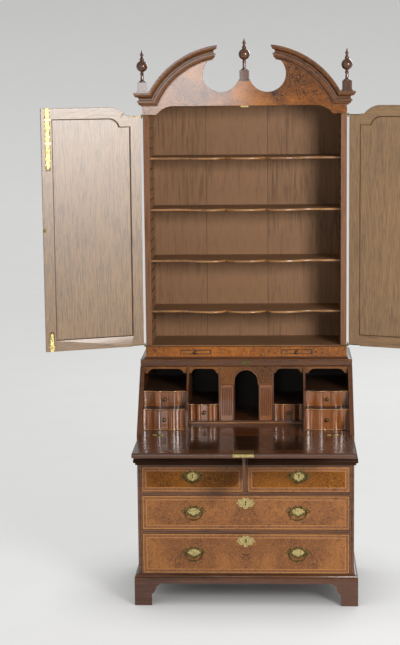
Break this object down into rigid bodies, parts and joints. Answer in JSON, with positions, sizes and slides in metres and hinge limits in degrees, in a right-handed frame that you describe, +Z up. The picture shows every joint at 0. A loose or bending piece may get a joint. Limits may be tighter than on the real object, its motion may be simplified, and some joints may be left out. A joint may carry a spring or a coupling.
{
  "type": "escritoire",
  "caption": "Tall walnut bureau cabinet with a folding writing fall, a fitted interior, bail-handled drawers and a two-door bookcase under a broken-arch pediment.",
  "frame": {"origin": "on the floor, in the middle of the width and of the depth, counted with the fall lowered as in the picture", "axes": "+Z up along the height, +X to the right as one stands in front, +Y from the front to the back"},
  "size_m": [1.7711, 0.9466, 2.482],
  "materials": {
    "walnut": "old wax polish",
    "burr_walnut": "veneer with old wax polish",
    "oak": "bare aged timber",
    "brass": "aged and rubbed",
    "mirror": "silvered plate"
  },
  "bodies": {
    "carcass": {"case_sides": "walnut", "drawer_dividers": "oak", "loper_housing": "walnut", "case_backboards": "oak", "desk_top_board": "walnut", "writing_bed": "walnut", "waist_moulding": "walnut", "base_moulding": "walnut", "bracket_feet": "walnut", "pigeonhole_partitions": "walnut", "pigeonhole_shelves": "walnut", "pigeonhole_valances": "burr_walnut", "arch_front": "burr_walnut", "cabinet_sides": "oak", "cabinet_boards": "oak", "cabinet_backboards": "oak", "bookcase_shelves": "oak", "candle_frieze": "burr_walnut", "mid_moulding": "walnut", "pediment_board": "burr_walnut", "cornice_mouldings": "walnut", "finials": "walnut", "fixed_brass": "brass"},
    "left_door": {"left_door_frame": "burr_walnut", "left_door_mirror": "mirror", "left_door_panel": "oak", "left_door_brass": "brass"},
    "right_door": {"right_door_frame": "burr_walnut", "right_door_mirror": "mirror", "right_door_panel": "oak", "right_door_brass": "brass"},
    "left_door_top_bolt": {"left_door_top_bolt": "brass"},
    "left_door_low_bolt": {"left_door_low_bolt": "brass"},
    "fall": {"fall_panel": "burr_walnut", "fall_brass": "brass"},
    "loper": {"loper": "walnut"},
    "left_candle_slide": {"left_candle_slide": "burr_walnut"},
    "left_lower_small_drawer": {"left_lower_small_drawer": "burr_walnut"},
    "left_upper_small_drawer": {"left_upper_small_drawer": "burr_walnut"},
    "left_inner_small_drawer": {"left_inner_small_drawer": "burr_walnut"},
    "left_document_box": {"left_document_box": "burr_walnut"},
    "right_candle_slide": {"right_candle_slide": "burr_walnut"},
    "right_lower_small_drawer": {"right_lower_small_drawer": "burr_walnut"},
    "right_upper_small_drawer": {"right_upper_small_drawer": "burr_walnut"},
    "right_inner_small_drawer": {"right_inner_small_drawer": "burr_walnut"},
    "right_document_box": {"right_document_box": "burr_walnut"},
    "left_short_drawer": {"left_short_drawer": "burr_walnut", "left_short_drawer_brass": "brass"},
    "right_short_drawer": {"right_short_drawer": "burr_walnut", "right_short_drawer_brass": "brass"},
    "upper_long_drawer": {"upper_long_drawer": "burr_walnut", "upper_long_drawer_brass": "brass"},
    "lower_long_drawer": {"lower_long_drawer": "burr_walnut", "lower_long_drawer_brass": "brass"},
    "left_short_drawer_bail": {"left_short_drawer_bail": "brass"},
    "right_short_drawer_bail": {"right_short_drawer_bail": "brass"},
    "upper_long_drawer_left_bail": {"upper_long_drawer_left_bail": "brass"},
    "upper_long_drawer_right_bail": {"upper_long_drawer_right_bail": "brass"},
    "lower_long_drawer_left_bail": {"lower_long_drawer_left_bail": "brass"},
    "lower_long_drawer_right_bail": {"lower_long_drawer_right_bail": "brass"}
  },
  "joints": [
    {"name": "left_door_hinge", "type": "hinge", "parent": "carcass", "child": "left_door", "pos_m": [-0.455, 0.18328, 1.114], "axis": [0, 0, 1], "range_deg": [-14, 158]},
    {"name": "right_door_hinge", "type": "hinge", "parent": "carcass", "child": "right_door", "pos_m": [0.455, 0.18328, 1.114], "axis": [0, 0, -1], "range_deg": [-14, 158]},
    {"name": "left_door_top_bolt_slide", "type": "slide", "parent": "left_door", "child": "left_door_top_bolt", "axis": [0, 0, 1], "range_m": [0, 0.012]},
    {"name": "left_door_low_bolt_slide", "type": "slide", "parent": "left_door", "child": "left_door_low_bolt", "axis": [0, 0, -1], "range_m": [0, 0.012]},
    {"name": "fall_hinge", "type": "hinge", "parent": "carcass", "child": "fall", "pos_m": [0, -0.09872, 0.767], "axis": [-1, 0, 0], "range_deg": [0, 132.55]},
    {"name": "loper_slide", "type": "slide", "parent": "carcass", "child": "loper", "axis": [0, 1, 0], "range_m": [0, 0.27984]},
    {"name": "left_candle_slide_draw", "type": "slide", "parent": "carcass", "child": "left_candle_slide", "axis": [0, 1, 0], "range_m": [-0.15, 0]},
    {"name": "left_lower_small_drawer_draw", "type": "slide", "parent": "carcass", "child": "left_lower_small_drawer", "axis": [0, 1, 0], "range_m": [-0.26, 0]},
    {"name": "left_upper_small_drawer_draw", "type": "slide", "parent": "carcass", "child": "left_upper_small_drawer", "axis": [0, 1, 0], "range_m": [-0.22, 0]},
    {"name": "left_inner_small_drawer_draw", "type": "slide", "parent": "carcass", "child": "left_inner_small_drawer", "axis": [0, 1, 0], "range_m": [-0.16, 0]},
    {"name": "left_document_box_draw", "type": "slide", "parent": "carcass", "child": "left_document_box", "axis": [0, 1, 0], "range_m": [-0.17, 0]},
    {"name": "right_candle_slide_draw", "type": "slide", "parent": "carcass", "child": "right_candle_slide", "axis": [0, 1, 0], "range_m": [-0.15, 0]},
    {"name": "right_lower_small_drawer_draw", "type": "slide", "parent": "carcass", "child": "right_lower_small_drawer", "axis": [0, 1, 0], "range_m": [-0.26, 0]},
    {"name": "right_upper_small_drawer_draw", "type": "slide", "parent": "carcass", "child": "right_upper_small_drawer", "axis": [0, 1, 0], "range_m": [-0.22, 0]},
    {"name": "right_inner_small_drawer_draw", "type": "slide", "parent": "carcass", "child": "right_inner_small_drawer", "axis": [0, 1, 0], "range_m": [-0.16, 0]},
    {"name": "right_document_box_draw", "type": "slide", "parent": "carcass", "child": "right_document_box", "axis": [0, 1, 0], "range_m": [-0.17, 0]},
    {"name": "left_short_drawer_draw", "type": "slide", "parent": "carcass", "child": "left_short_drawer", "axis": [0, 1, 0], "range_m": [-0.32, 0]},
    {"name": "right_short_drawer_draw", "type": "slide", "parent": "carcass", "child": "right_short_drawer", "axis": [0, 1, 0], "range_m": [-0.32, 0]},
    {"name": "upper_long_drawer_draw", "type": "slide", "parent": "carcass", "child": "upper_long_drawer", "axis": [0, 1, 0], "range_m": [-0.32, 0]},
    {"name": "lower_long_drawer_draw", "type": "slide", "parent": "carcass", "child": "lower_long_drawer", "axis": [0, 1, 0], "range_m": [-0.32, 0]},
    {"name": "left_short_drawer_bail_swing", "type": "hinge", "parent": "left_short_drawer", "child": "left_short_drawer_bail", "pos_m": [-0.2325, -0.10492, 0.587], "axis": [-1, 0, 0], "range_deg": [0, 84]},
    {"name": "right_short_drawer_bail_swing", "type": "hinge", "parent": "right_short_drawer", "child": "right_short_drawer_bail", "pos_m": [0.2325, -0.10492, 0.587], "axis": [-1, 0, 0], "range_deg": [0, 84]},
    {"name": "upper_long_drawer_left_bail_swing", "type": "hinge", "parent": "upper_long_drawer", "child": "upper_long_drawer_left_bail", "pos_m": [-0.229, -0.10492, 0.419], "axis": [-1, 0, 0], "range_deg": [0, 84]},
    {"name": "upper_long_drawer_right_bail_swing", "type": "hinge", "parent": "upper_long_drawer", "child": "upper_long_drawer_right_bail", "pos_m": [0.229, -0.10492, 0.419], "axis": [-1, 0, 0], "range_deg": [0, 84]},
    {"name": "lower_long_drawer_left_bail_swing", "type": "hinge", "parent": "lower_long_drawer", "child": "lower_long_drawer_left_bail", "pos_m": [-0.229, -0.10492, 0.2335], "axis": [-1, 0, 0], "range_deg": [0, 84]},
    {"name": "lower_long_drawer_right_bail_swing", "type": "hinge", "parent": "lower_long_drawer", "child": "lower_long_drawer_right_bail", "pos_m": [0.229, -0.10492, 0.2335], "axis": [-1, 0, 0], "range_deg": [0, 84]}
  ]
}
